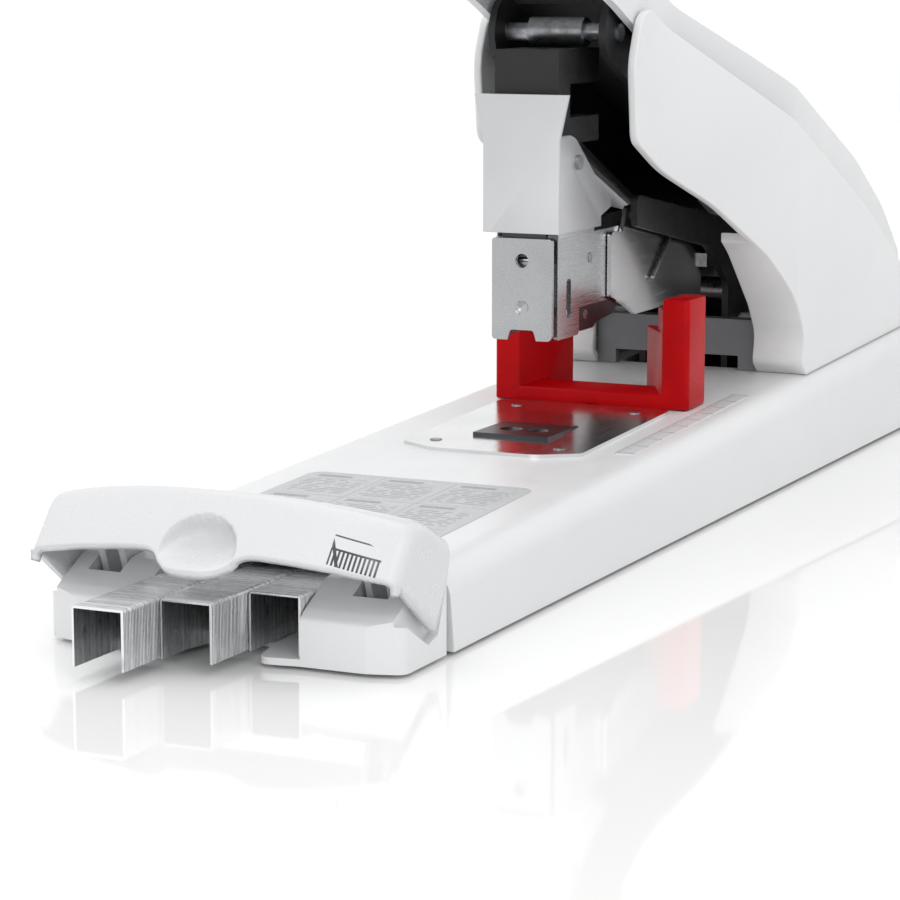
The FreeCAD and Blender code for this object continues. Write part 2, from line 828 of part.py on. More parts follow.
def handle_lever():
    r = lever_r
    length = lever_length
    cheek = side_plate(
        [(*along_lever(-r, -r), r * 0.95), (*along_lever(length + r, -r), r * 0.9),
         (*along_lever(length + r, r), r * 0.9), (*along_lever(-r, r), r * 0.95)],
        lever_in, lever_in + lever_t,
    )
    cheek = cheek.cut(rod_x(*pivot, pin_r + pin_gap, 0, 60)).cut(rod_x(*roller_at, roller_pin_r, 0, 60))
    outer = lever_in + lever_t
    web = side_plate(
        [
            along_lever(30, r), along_lever(length - 2, r),
            along_lever(length - 2, r + lever_t), along_lever(30, r + lever_t),
        ],
        -outer, outer,
    )
    strip = side_plate(
        [
            along_lever(30, r - 2), along_lever(length - 2, r - 2),
            along_lever(length - 2, r + 0.5), along_lever(30, r + 0.5),
        ],
        lever_in, outer,
    )
    return cheek.fuse([mirrored(cheek), web, strip, mirrored(strip)])


def lever_screws():
    """Screws that hold the handle shell on the lever."""
    screws = []
    lean = V(0, lever_slope, 1)
    for y in (233.0, 268.0, 303.0):
        start = V(0, y, web_top(y))
        head = Part.makeCylinder(3.2, 2.0, start, lean)
        screws.append(head)
    return Part.makeCompound(screws)


def handle_pin():
    return rod_x(*pivot, pin_r, -pin_half - 1.2, pin_half + 1.2)


def pin_clips():
    ring = rod_x(*pivot, pin_r + 2.0, lever_in + lever_t + run_gap, lever_in + lever_t + 1.2)
    return pair(ring.cut(rod_x(*pivot, pin_r, 0, 60)))


def roller():
    return rod_x(*roller_at, roller_r, -8, 8).cut(rod_x(*roller_at, roller_pin_r + pin_gap, -10, 10))


def roller_pin():
    return rod_x(*roller_at, roller_pin_r, -pin_half, pin_half)


def return_spring():
    """Torsion spring on the handle pin, with one leg on the frame spacer and one under the lever."""
    y, z = pivot
    wire_r = 0.9
    r = pin_r + run_gap + wire_r
    turns = coil(r, wire_r, 15.0, 6, V(-7.5, y, z), V(1, 0, 0))
    low = Part.makeCylinder(wire_r, 24.0, V(-7.5, y, z - r), V(0, -1, -0.16))
    high = Part.makeCylinder(wire_r, 34.0, V(7.5, y, z + r), V(0, -1, lever_slope - 0.02))
    return turns.fuse([low, high])


# ---------------------------------------------------------------- head
def head_housing():
    y = nose_front - 1.0
    t = housing_t
    low = nose_high + 1.5
    flare = housing_high - 12.0
    front = front_plate(
        [
            (-housing_half, low, 2.5), (housing_half, low, 1.0), (housing_half, flare),
            (housing_half + 2.6, housing_high), (-housing_half - 2.6, housing_high), (-housing_half, flare),
        ],
        y, y + t,
    )
    side = side_plate(
        [
            (y, low), (nose_front + 29.3, low), (nose_front + 29.2, low + 2.8),
            (nose_front + housing_reach, low + 5.0, 1.0), (nose_front + 35.7, low + 8.0, 2.0),
            (nose_front + 26.8, low + 12.8, 8.0), (nose_front + 10.8, low + 25.0, 8.0),
            (nose_front + 7.0, low + 26.0), (y, low + 26.0),
        ],
        housing_half - t, housing_half,
    )
    seat = box(-housing_half, housing_half, y + t, nose_front + 29.0, low, low + 1.4)
    foot = box(-magazine_half, magazine_half, tray_front + 1, nose_front + 29.0, nose_high, low + 0.2)
    opening = box(-housing_half + 2.2, housing_half - 2.2, y - 1, nose_front + 26.0, nose_high - 1, low + 3)
    return front.fuse([side, mirrored(side), seat.cut(opening), foot.cut(opening)])


def housing_screws():
    y, z = nose_front + 12.0, nose_high + 20.0
    return pair(rod_x(y, z, 2.0, housing_half, housing_half + 1.0))


def magazine_channel():
    """Inverted channel over the staples; its front legs make the nose's sides."""
    outline = [
        (nose_front + 3.2, nose_low, 0.8),
        (nose_front + 18.5, nose_low, 1.5),
        (nose_front + 18.5, magazine_low),
        (magazine_rear, magazine_low),
        (magazine_rear, nose_high),
        (nose_front + 3.2, nose_high),
    ]
    side = side_plate(outline, magazine_half - magazine_t, magazine_half)
    y0, y1 = nose_front + 9.5, nose_front + 12.5
    side = side.cut(side_plate([(y0, 57.5, 1), (y1, 57.5, 1), (y1, 68, 1), (y0, 68, 1)], 0, 60))
    top = box(-magazine_half, magazine_half, tray_front + 1, magazine_rear, nose_high - magazine_t, nose_high)
    return top.fuse([side, mirrored(side)])


def nose_bracket():
    """Dark plates below the channel, behind the nose."""
    back = nose_front + 18.5 + 0.1
    outline = [
        (back, 52.8, 1.0),
        (back + 10.0, 52.8, 1.5),
        (back + 12.5, 54.2, 3.0),
        (stop_front - stop_forward - 1.5, 55.4, 1.0),
        (stop_front - stop_forward - 1.5, magazine_low - 0.1),
        (back, magazine_low - 0.1),
    ]
    return pair(side_plate(outline, magazine_half - magazine_t, magazine_half))


def nose_rivets():
    rivets = [rod_x(nose_front + 22.7, 57.1, 1.3, magazine_half, magazine_half + 0.2)]
    rivets.append(rod_x(nose_front + 26.0, 72.5, 1.4, magazine_half, magazine_half + 0.2))
    return pair(Part.makeCompound(rivets))


def head_spring():
    wire_r = 0.4
    seat = wire_r + 0.15
    length = crosshead_low - nose_high - 2 * seat
    return coil(5.0, wire_r, length, 3.5, V(0, nose_front + 20.0, nose_high + seat), V(0, 0, 1))


def driver_blade():
    half = crown / 2 - 0.1
    return box(-half, half, blade_front, blade_front + blade_t, crown_z + 0.6, roller_at[1] - 18)


def driver_crosshead():
    half = housing_half - housing_t - run_gap
    y0 = blade_front + blade_t
    body = box(-half, half, y0, nose_front + 31, crosshead_low, roller_at[1] - roller_r - run_gap)
    return body.cut(box(-half - 1, half + 1, y0 + 8, nose_front + 40, nose_high + 32.0, nose_high + 41.0))


def blade_screws():
    screws = []
    for z in (nose_high + 28.5, nose_high + 34.0):
        screws.append(rod_y(0, z, 2.2, blade_front - 1.0, blade_front))
    return Part.makeCompound(screws)


def nose_plate():
    half = magazine_half - 0.3
    plate = front_plate(
        [
            (-half, nose_low, 1.0), (-4.2, nose_low), (-3.4, nose_low + 2.8, 1.0), (3.4, nose_low + 2.8, 1.0),
            (4.2, nose_low), (half, nose_low, 1.5), (half, nose_high, 0.8), (-half, nose_high, 0.8),
        ],
        nose_front, nose_front + plate_front_t,
    )
    plate = plate.cut(rod_y(0, nose_low + 21.5, 1.9, 0, 400))
    plate = plate.cut(Part.makeSphere(3.2, V(0, nose_front - 2.5, nose_low + 8.8)))
    ear_in = crown / 2 + 0.4
    y0, y1 = nose_front + plate_front_t - 0.1, nose_front + 14
    ear = box(ear_in, ear_in + 0.8, y0, y1, magazine_low + 1.4, crown_z - 1)
    return plate.fuse([ear, mirrored(ear)])


def magazine_tray():
    """The drawer: a channel with an inner rail that the staples ride on."""
    y0, y1 = nose_front + 14.0, magazine_rear
    wall_in = crown / 2 + 0.4
    rail_half = crown / 2 - wire - 0.2
    low = magazine_low
    floor = box(-wall_in - 0.8, wall_in + 0.8, tray_front, y1, low, low + 0.6)
    floor = floor.cut(box(-1.2, 1.2, tray_front + 10, y1 - 10, low - 1, low + 1))
    wall = box(wall_in, wall_in + 0.8, y0, y1, low, crown_z - 1)
    rail_high = crown_z - wire - 0.2
    rail = box(-rail_half, rail_half, tray_front, y1, low + 0.6, rail_high)
    hollow = rail_half - 0.9
    rail = rail.cut(box(-hollow, hollow, tray_front + 1.5, y1 - 2.0, low + 0.5, rail_high - 0.9))
    rail = rail.cut(box(-1.0, 1.0, tray_front + strip_length, y1 - 2.0, rail_high - 2, rail_high + 1))
    end = box(-wall_in - 0.8, wall_in + 0.8, y1 - 2.0, y1, low, crown_z - 1)
    low_ear = box(wall_in, wall_in + 0.8, tray_front, y0, low, magazine_low + 1.4)
    return floor.fuse([wall, mirrored(wall), rail, end, low_ear, mirrored(low_ear)])


def magazine_staples():
    return staple_strip(0, tray_front + 0.3, tray_front + 0.3 + strip_length, staple_z)


pusher_front = tray_front + 0.3 + strip_length + run_gap
pusher_length = 14.0
rod_height = magazine_low + 6.5


def pusher():
    half = crown / 2 - 0.1
    rail_half = crown / 2 - wire - 0.2
    rail_high = crown_z - wire - 0.2
    y0, y1 = pusher_front, pusher_front + pusher_length
    saddle = box(-half, half, y0, y1, magazine_low + 1.2, crown_z + 2.0)
    room = rail_half + 0.25
    saddle = saddle.cut(box(-room, room, y0 - 1, y1 + 1, magazine_low, rail_high + 0.25))
    web = box(-0.7, 0.7, y0 + 1, y1, rod_height, rail_high + 1.0)
    core = box(-rail_half + 1.4, rail_half - 1.4, y0 + 1, y1, rod_height - 3.2, rod_height + 4.2)
    return saddle.fuse([web, core]).cut(rod_y(0, rod_height, 1.3, 0, 400))


def pusher_rod():
    return rod_y(0, rod_height, 1.2, tray_front + 1.5, magazine_rear - 2.0)


def pusher_spring():
    wire_r = 0.45
    start = pusher_front + pusher_length + wire_r + 0.15
    length = magazine_rear - 2.0 - start - wire_r - 0.15
    return coil(2.5, wire_r, length, 9, V(0, start, rod_height), V(0, 1, 0))


# ---------------------------------------------------------------- export
def nodes():
    frame_right = frame_plate()
    guide_right = guide_plate()
    arm_right = arm_shell()
    made = {
        "base_shell": base_shell(),
        "base_plate": base_plate(),
        "base_screws": base_screws(),
        "rubber_feet": rubber_feet(),
        "reserve_cap": reserve_cap(),
        "reserve_flap": reserve_flap(),
        "flap_pins": flap_pins(),
        "info_label": info_label(),
        "depth_scale": depth_scale(),
        "anvil_plate": anvil_plate(),
        "anvil_rivets": anvil_rivets(),
        "anvil_die": anvil_die(),
        "paper_stop": paper_stop(),
        "frame_left": mirrored(frame_right),
        "frame_right": frame_right,
        "frame_spacers": frame_spacers(),
        "frame_brackets": frame_brackets(),
        "frame_bolts": frame_bolts(),
        "guide_left": mirrored(guide_right),
        "guide_right": guide_right,
        "guide_spacers": guide_spacers(),
        "latch_spring": latch_spring(),
        "arm_shell_left": mirrored(arm_right),
        "arm_shell_right": arm_right,
        "arm_screws": arm_screws(),
        "pillar_cover": pillar_cover(),
        "handle_shell": handle_shell(),
        "handle_lever": handle_lever(),
        "lever_screws": lever_screws(),
        "handle_pin": handle_pin(),
        "pin_clips": pin_clips(),
        "roller": roller(),
        "roller_pin": roller_pin(),
        "return_spring": return_spring(),
        "head_housing": head_housing(),
        "housing_screws": housing_screws(),
        "magazine_channel": magazine_channel(),
        "nose_bracket": nose_bracket(),
        "nose_rivets": nose_rivets(),
        "head_spring": head_spring(),
        "driver_blade": driver_blade(),
        "driver_crosshead": driver_crosshead(),
        "blade_screws": blade_screws(),
        "nose_plate": nose_plate(),
        "magazine_tray": magazine_tray(),
        "magazine_staples": magazine_staples(),
        "pusher": pusher(),
        "pusher_rod": pusher_rod(),
        "pusher_spring": pusher_spring(),
    }
    for index, side in enumerate(("left", "middle", "right")):
        made["staple_strip_" + side] = reserve_strip(index)
    return made


os.makedirs("parts", exist_ok=True)
for name, shape in nodes().items():
    shape.translate(V(0, -middle, 0))
    shape.exportStep("parts/" + name + ".step")
    box_ = shape.BoundBox
    print(f"{name:18s} solids {len(shape.Solids)} valid {shape.isValid()} "
          f"X {box_.XMin:.1f} {box_.XMax:.1f} Y {box_.YMin + middle:.1f} {box_.YMax + middle:.1f} "
          f"Z {box_.ZMin:.1f} {box_.ZMax:.1f}")
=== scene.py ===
"""Heavy-duty block stapler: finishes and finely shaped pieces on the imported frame.

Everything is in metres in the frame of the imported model: +X right, +Y rear, +Z up.
"""
import json
import math

import bmesh
import bpy
import numpy as np
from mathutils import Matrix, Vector


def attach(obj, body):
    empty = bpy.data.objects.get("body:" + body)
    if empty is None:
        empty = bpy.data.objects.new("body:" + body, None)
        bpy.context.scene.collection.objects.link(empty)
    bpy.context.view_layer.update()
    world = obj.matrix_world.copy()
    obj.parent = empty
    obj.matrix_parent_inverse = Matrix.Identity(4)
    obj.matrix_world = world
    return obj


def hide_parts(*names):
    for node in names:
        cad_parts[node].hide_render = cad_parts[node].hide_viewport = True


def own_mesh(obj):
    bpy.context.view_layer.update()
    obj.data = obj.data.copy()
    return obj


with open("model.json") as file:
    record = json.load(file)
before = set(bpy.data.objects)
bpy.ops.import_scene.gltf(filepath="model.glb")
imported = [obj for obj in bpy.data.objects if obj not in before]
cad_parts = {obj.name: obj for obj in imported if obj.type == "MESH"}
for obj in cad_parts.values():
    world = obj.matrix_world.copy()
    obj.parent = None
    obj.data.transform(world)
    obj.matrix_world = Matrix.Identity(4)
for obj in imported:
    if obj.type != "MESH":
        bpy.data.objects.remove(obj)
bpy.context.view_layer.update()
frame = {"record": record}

MM = 0.001
MIDDLE = 183.0          # stations run from the bay's front, 183 mm before the origin
WIRE_PITCH = 0.62       # glued staple wires, centre to centre
STEPS_A_TURN = 36       # of a coil spring's centre line
WIRE_SIDES = 10         # corners of a coil spring's round section
STRIP_LONG = 62.0       # a stick of staples
STRIP_FLOOR = 2.9       # height of the bay's floor
LEG_HIGH = 13.6         # a staple, leg tip to crown


# ---------------------------------------------------------------- colour and nodes
def srgb(code):
    """'#rrggbb' to linear RGBA."""
    c = np.array([int(code[i:i + 2], 16) for i in (1, 3, 5)]) / 255.0
    lin = np.where(c <= 0.04045, c / 12.92, ((c + 0.055) / 1.055) ** 2.4)
    return (*lin.tolist(), 1.0)


def put(tree, kind, sockets=None, **settings):
    """Adds one node; a socket's value is a number, a colour or another node's output."""
    n = tree.nodes.new(kind)
    for key, value in settings.items():
        setattr(n, key, value)
    for key, value in (sockets or {}).items():
        if isinstance(value, bpy.types.NodeSocket):
            tree.links.new(value, n.inputs[key])
        else:
            n.inputs[key].default_value = value
    return n


def finish_named(name, **constants):
    """A new material, its shader with constant sockets, and coordinates in millimetres."""
    m = bpy.data.materials.new(name)
    m.use_nodes = True
    t = m.node_tree
    t.nodes.clear()
    shader = put(t, "ShaderNodeBsdfPrincipled", {k.replace("_", " "): v for k, v in constants.items()})
    put(t, "ShaderNodeOutputMaterial", {"Surface": shader.outputs[0]})
    where = put(t, "ShaderNodeTexCoord")
    mm = put(t, "ShaderNodeMapping", {"Vector": where.outputs["Object"], "Scale": (1000, 1000, 1000)})
    return m, t, shader, mm.outputs[0]


def noise(t, vector, size_mm, detail=3.0, stretch=(1, 1, 1), rough=0.5):
    """Noise whose features are about size_mm wide, pulled out along the axes of stretch."""
    if stretch != (1, 1, 1):
        pulled = {"Vector": vector, "Scale": tuple(1 / s for s in stretch)}
        vector = put(t, "ShaderNodeMapping", pulled).outputs[0]
    settings = {"Vector": vector, "Scale": 1 / size_mm, "Detail": detail, "Roughness": rough}
    made = put(t, "ShaderNodeTexNoise", settings)
    return made.outputs["Fac"]


def spread(t, value, low, high, to_low, to_high):
    """Maps low..high of value to to_low..to_high."""
    return put(t, "ShaderNodeMapRange", {"Value": value, "From Min": low, "From Max": high,
                                         "To Min": to_low, "To Max": to_high}).outputs["Result"]


def blend(t, factor, first, second):
    """Colour between first and second; each is a hex code or an output."""
    pick = [srgb(c) if isinstance(c, str) else c for c in (first, second)]
    return put(t, "ShaderNodeMix", {0: factor, 6: pick[0], 7: pick[1]}, data_type="RGBA").outputs[2]


def relief(t, height, depth_mm, strength=1.0, below=None):
    """Bump whose height of 0..1 stands depth_mm high."""
    sockets = {"Height": height, "Distance": depth_mm * MM, "Strength": strength}
    if below is not None:
        sockets["Normal"] = below
    return put(t, "ShaderNodeBump", sockets).outputs[0]


def joined(t, socket_values, shader):
    """Links a set of outputs to the shader's sockets."""
    for key, value in socket_values.items():
        t.links.new(value, shader.inputs[key])


def sums_in(t):
    """Two short words for patterns: calc does one sum, within is 1 between low and high, else 0."""
    def calc(op, *values):
        return put(t, "ShaderNodeMath", dict(enumerate(values)), operation=op).outputs[0]

    def within(value, low, high):
        return calc("MULTIPLY", calc("GREATER_THAN", value, low), calc("LESS_THAN", value, high))

    return calc, within


# ---------------------------------------------------------------- finishes
def moulded_abs(name, light, shade, gloss, grain_mm=0.55):
    """ABS from a spark-eroded mould: even white, a fine grain, faint flow marks and handling dulling."""
    m, t, s, mm = finish_named(name, IOR=1.52, Specular_IOR_Level=0.5)
    grain = noise(t, mm, grain_mm, 2.0)
    flow = noise(t, mm, 70.0, 2.0, stretch=(1, 3, 1))
    rub = noise(t, mm, 11.0, 5.0, rough=0.62)
    joined(t, {
        "Base Color": blend(t, spread(t, flow, 0.3, 0.7, 0.0, 1.0), light, shade),
        "Roughness": spread(t, rub, 0.3, 0.75, gloss - 0.05, gloss + 0.09),
        "Normal": relief(t, rub, 0.03, 0.25, relief(t, grain, 0.014, 0.5)),
    }, s)
    return m


def printed_abs(name, light, shade, gloss):
    """Glossy white ABS with one small pad-printed picture of a staple stick near its right end."""
    m, t, s, mm = finish_named(name, IOR=1.52, Specular_IOR_Level=0.5)
    grain = noise(t, mm, 0.4, 2.0)
    flow = noise(t, mm, 60.0, 2.0, stretch=(3, 1, 1))
    rub = noise(t, mm, 9.0, 5.0, rough=0.62)
    split = put(t, "ShaderNodeSeparateXYZ", {"Vector": mm})
    x, y, z = split.outputs["X"], split.outputs["Y"], split.outputs["Z"]
    calc, within = sums_in(t)
    # the picture leans: its height falls to the right, as a stick seen from one corner
    high = calc("ADD", z, calc("MULTIPLY", x, 0.22))
    stripe = calc("LESS_THAN", calc("FRACT", calc("DIVIDE", x, 0.95)), 0.5)
    wires = calc("MULTIPLY", within(high, 32.6, 35.6), stripe)
    crest = calc("MAXIMUM", within(high, 35.5, 35.9), within(high, 38.0, 38.3))
    front = within(calc("ADD", x, calc("MULTIPLY", high, 0.55)), 50.4, 51.2)
    shape = calc("MAXIMUM", calc("MAXIMUM", wires, crest), calc("MULTIPLY", front, within(high, 32.6, 38.2)))
    area = calc("MULTIPLY", within(x, 30.5, 41.5), calc("LESS_THAN", y, -186.0))
    ink = calc("MULTIPLY", calc("MULTIPLY", shape, area), spread(t, rub, 0.25, 0.5, 0.7, 0.95))
    body = blend(t, spread(t, flow, 0.3, 0.7, 0.0, 1.0), light, shade)
    joined(t, {
        "Base Color": blend(t, ink, body, "#1e1f21"),
        "Roughness": spread(t, rub, 0.3, 0.75, gloss - 0.015, gloss + 0.025),
        "Normal": relief(t, grain, 0.004, 0.15),
    }, s)
    return m


def moulded_colour(name, light, shade, gloss, grain_mm=0.5, ior=1.48, level=0.5):
    """Nylon, acetal or ABS, dyed through: deeper where the skin is thick, slight sink marks."""
    m, t, s, mm = finish_named(name, IOR=ior, Specular_IOR_Level=level)
    grain = noise(t, mm, grain_mm, 3.0)
    sink = noise(t, mm, 14.0, 2.0)
    joined(t, {
        "Base Color": blend(t, spread(t, sink, 0.3, 0.7, 0.0, 1.0), light, shade),
        "Roughness": spread(t, grain, 0.3, 0.7, gloss - 0.04, gloss + 0.08),
        "Normal": relief(t, sink, 0.1, 0.12, relief(t, grain, 0.012, 0.5)),
    }, s)
    return m


def rolled_steel(name, light, shade, gloss, along=(1, 40, 1), line_mm=0.35, scuff="#8b8d90", mark=0.3):
    """Cold-rolled sheet with a bright plating: long rolling lines one way, soft clouds, stray scuffs."""
    m, t, s, mm = finish_named(name, Metallic=1.0)
    lines = noise(t, mm, line_mm, 2.0, stretch=along)
    cloud = noise(t, mm, 22.0, 3.0)
    nick = noise(t, mm, 3.1, 6.0, rough=0.7)
    worn = spread(t, nick, 0.64, 0.78, 0.0, mark)
    body = blend(t, spread(t, cloud, 0.3, 0.7, 0.0, 1.0), light, shade)
    joined(t, {
        "Base Color": blend(t, worn, body, scuff),
        "Roughness": spread(t, lines, 0.25, 0.75, gloss - 0.05, gloss + 0.07),
        "Normal": relief(t, nick, 0.006, 0.12, relief(t, lines, 0.003, 0.2)),
    }, s)
    return m


def powder_coat(name, light, shade, gloss=0.46):
    """Baked powder on pressed steel: orange-peel skin about a millimetre across, a little dust in it."""
    m, t, s, mm = finish_named(name, IOR=1.5, Specular_IOR_Level=0.5)
    peel = noise(t, mm, 1.1, 1.5)
    dust = noise(t, mm, 6.0, 6.0, rough=0.7)
    joined(t, {
        "Base Color": blend(t, spread(t, dust, 0.35, 0.75, 0.0, 1.0), light, shade),
        "Roughness": spread(t, dust, 0.3, 0.7, gloss - 0.06, gloss + 0.1),
        "Normal": relief(t, peel, 0.03, 0.5),
    }, s)
    return m


def satin_lacquer(name, light, shade, gloss=0.33):
    """Silver lacquer over steel: fine metal flake under a soft clear skin."""
    m, t, s, mm = finish_named(name, Metallic=0.75, Coat_Weight=0.25, Coat_Roughness=0.3)
    flake = noise(t, mm, 0.3, 1.0)
    cloud = noise(t, mm, 30.0, 2.0)
    joined(t, {
        "Base Color": blend(t, spread(t, cloud, 0.3, 0.7, 0.0, 1.0), light, shade),
        "Roughness": spread(t, flake, 0.3, 0.7, gloss - 0.04, gloss + 0.1),
        "Normal": relief(t, flake, 0.006, 0.4),
    }, s)
    return m


def turned_steel(name, light, shade, gloss=0.3):
    """Zinc on turned or headed wire: close tool marks, a grey bloom."""
    m, t, s, mm = finish_named(name, Metallic=1.0)
    marks = noise(t, mm, 0.22, 2.0)
    bloom = noise(t, mm, 2.4, 4.0)
    joined(t, {
        "Base Color": blend(t, spread(t, bloom, 0.3, 0.7, 0.0, 1.0), light, shade),
        "Roughness": spread(t, bloom, 0.3, 0.7, gloss - 0.06, gloss + 0.14),
        "Normal": relief(t, marks, 0.008, 0.5),
    }, s)
    return m


def glued_wires(name):
    """Galvanised staple wire under thin glue: each wire its own grey, faintly smeared by the glue."""
    m, t, s, mm = finish_named(name, Metallic=1.0)
    split = put(t, "ShaderNodeSeparateXYZ", {"Vector": mm})
    # one grey for each wire: white noise of the wire's number
    number = put(t, "ShaderNodeMath", {0: split.outputs["Y"], 1: WIRE_PITCH}, operation="DIVIDE")
    whole = put(t, "ShaderNodeMath", {0: number.outputs[0]}, operation="FLOOR")
    each = put(t, "ShaderNodeTexWhiteNoise", {"W": whole.outputs[0]}, noise_dimensions="1D")
    smear = noise(t, mm, 0.9, 3.0, stretch=(5, 1, 5))
    bright = blend(t, each.outputs["Value"], "#f0f1f2", "#c2c4c6")
    joined(t, {
        "Base Color": blend(t, spread(t, smear, 0.55, 0.8, 0.0, 0.6), bright, "#8a8c8f"),
        "Roughness": spread(t, smear, 0.3, 0.7, 0.24, 0.42),
        "Normal": relief(t, smear, 0.006, 0.12),
    }, s)
    return m


def printed_label(name):
    """Grey film with a printed layout: blocks of ruled lines, a few bars, thin frames; no lettering."""
    m, t, s, mm = finish_named(name, IOR=1.5, Specular_IOR_Level=0.4)
    split = put(t, "ShaderNodeSeparateXYZ", {"Vector": mm})
    x, y = split.outputs["X"], split.outputs["Y"]
    calc, within = sums_in(t)
    # rules 1.7 mm apart, broken into dashes that stand for words
    row = calc("DIVIDE", y, 1.7)
    rule = calc("LESS_THAN", calc("FRACT", row), 0.42)
    word = put(t, "ShaderNodeTexWhiteNoise", {"Vector": put(t, "ShaderNodeCombineXYZ", {
        "X": calc("FLOOR", calc("DIVIDE", x, 1.3)), "Y": calc("FLOOR", row)}).outputs[0]},
        noise_dimensions="2D").outputs["Value"]
    text = calc("MULTIPLY", rule, calc("GREATER_THAN", word, 0.24))
    # three columns of three blocks, 20 mm by 24 mm apart, with a margin
    column = calc("FRACT", calc("DIVIDE", calc("ADD", x, 30.0), 20.0))
    block = calc("FRACT", calc("DIVIDE", calc("ADD", y, 153.5), 24.0))
    area = calc("MULTIPLY", within(column, 0.09, 0.9), within(block, 0.12, 0.8))
    frames = calc("MAXIMUM", calc("LESS_THAN", column, 0.025), calc("LESS_THAN", block, 0.02))
    bar = calc("MULTIPLY", within(column, 0.12, 0.6), within(block, 0.86, 0.95))
    ink = calc("MAXIMUM", calc("MAXIMUM", calc("MULTIPLY", text, area), calc("MULTIPLY", frames, 0.55)), bar)
    inside = calc("MULTIPLY", within(x, -29.3, 29.3), within(y, -152.3, -81.2))
    fibre = noise(t, mm, 0.8, 4.0)
    film = blend(t, spread(t, fibre, 0.3, 0.7, 0.0, 1.0), "#c3c5c8", "#b8babd")
    joined(t, {
        "Base Color": blend(t, calc("MULTIPLY", calc("MULTIPLY", ink, inside), 0.5), film, "#5c5e61"),
        "Roughness": spread(t, fibre, 0.3, 0.7, 0.36, 0.5),
        "Normal": relief(t, fibre, 0.01, 0.3),
    }, s)
    return m


def printed_scale(name):
    """Clear film over white plastic, with pad-printed ticks every 2 mm and longer ones every 10 mm."""
    m, t, s, mm = finish_named(name, IOR=1.5, Specular_IOR_Level=0.5)
    split = put(t, "ShaderNodeSeparateXYZ", {"Vector": mm})
    x, y = split.outputs["X"], split.outputs["Y"]
    calc = sums_in(t)[0]
    far = calc("ADD", y, 400.0)
    tick = calc("LESS_THAN", calc("FRACT", calc("DIVIDE", far, 2.0)), 0.2)
    small = calc("MULTIPLY", tick, calc("LESS_THAN", x, 34.4))
    large = calc("LESS_THAN", calc("FRACT", calc("DIVIDE", far, 10.0)), 0.06)
    spine = calc("LESS_THAN", x, 32.8)
    wear = noise(t, mm, 1.0, 4.0)
    ink = calc("MAXIMUM", calc("MAXIMUM", small, large), spine)
    left_on = calc("MULTIPLY", ink, spread(t, wear, 0.3, 0.6, 0.35, 0.75))
    joined(t, {
        "Base Color": blend(t, left_on, "#d9dbdd", "#55585b"),
        "Roughness": spread(t, wear, 0.3, 0.7, 0.3, 0.42),
        "Normal": relief(t, wear, 0.008, 0.3),
    }, s)
    return m


def moulded_rubber(name):
    """Black rubber foot: matt, faint bloom, pressed grain."""
    m, t, s, mm = finish_named(name, IOR=1.5, Specular_IOR_Level=0.3)
    grain = noise(t, mm, 0.6, 4.0)
    bloom = noise(t, mm, 5.0, 3.0)
    joined(t, {
        "Base Color": blend(t, bloom, "#151516", "#2a2a2b"),
        "Roughness": spread(t, grain, 0.3, 0.7, 0.62, 0.8),
        "Normal": relief(t, grain, 0.04, 0.5),
    }, s)
    return m


FINISH = {
    "white_abs": moulded_abs("abs_moulded_white", "#e4e5e6", "#dedfe0", 0.33),
    "flap_abs": printed_abs("abs_moulded_gloss_printed", "#d9dadb", "#d5d6d8", 0.27),
    "red_pom": moulded_colour("acetal_moulded_red", "#c0030b", "#ad0209", 0.36, level=0.12),
    "black_pa": moulded_colour("nylon_moulded_black", "#141516", "#1d1e20", 0.48),
    "grey_abs": moulded_colour("abs_moulded_grey", "#7d7f82", "#737578", 0.42, ior=1.52),
    "black_steel": powder_coat("powder_coat_black", "#101113", "#1b1c1e"),
    "bright_steel": rolled_steel("nickel_plated_sheet", "#e4e4e5", "#d8d9da", 0.17),
    "satin_steel": rolled_steel("nickel_plated_satin_sheet", "#b4b6b8", "#a6a8aa", 0.27),
    "plate_steel": rolled_steel("zinc_plated_sheet", "#babcbf", "#aaacaf", 0.34),
    "dark_steel": rolled_steel("blackened_tool_steel", "#55575a", "#3e4043", 0.34,
                               along=(1, 12, 1), line_mm=0.3, scuff="#77797c"),
    "housing_paint": satin_lacquer("silver_lacquer_on_steel", "#cfd0d2", "#c6c7c9"),
    "staple_wire": glued_wires("galvanised_staple_wire"),
    "spring_steel": turned_steel("drawn_spring_wire", "#a9abad", "#8c8e91", 0.22),
    "screw_steel": turned_steel("zinc_headed_steel", "#a3a5a8", "#85878a"),
    "label_film": printed_label("printed_label_film"),
    "scale_print": printed_scale("pad_printed_scale"),
    "foot_rubber": moulded_rubber("rubber_moulded_black"),
}
slot_of = {s["node"]: s["material_slot"] for s in frame["record"]["subparts"]}
for part_name, slot_name in slot_of.items():
    part = bpy.data.objects[part_name]
    for i in range(max(1, len(part.material_slots))):
        if len(part.material_slots):
            part.material_slots[i].material = FINISH[slot_name]
        else:
            part.data.materials.append(FINISH[slot_name])


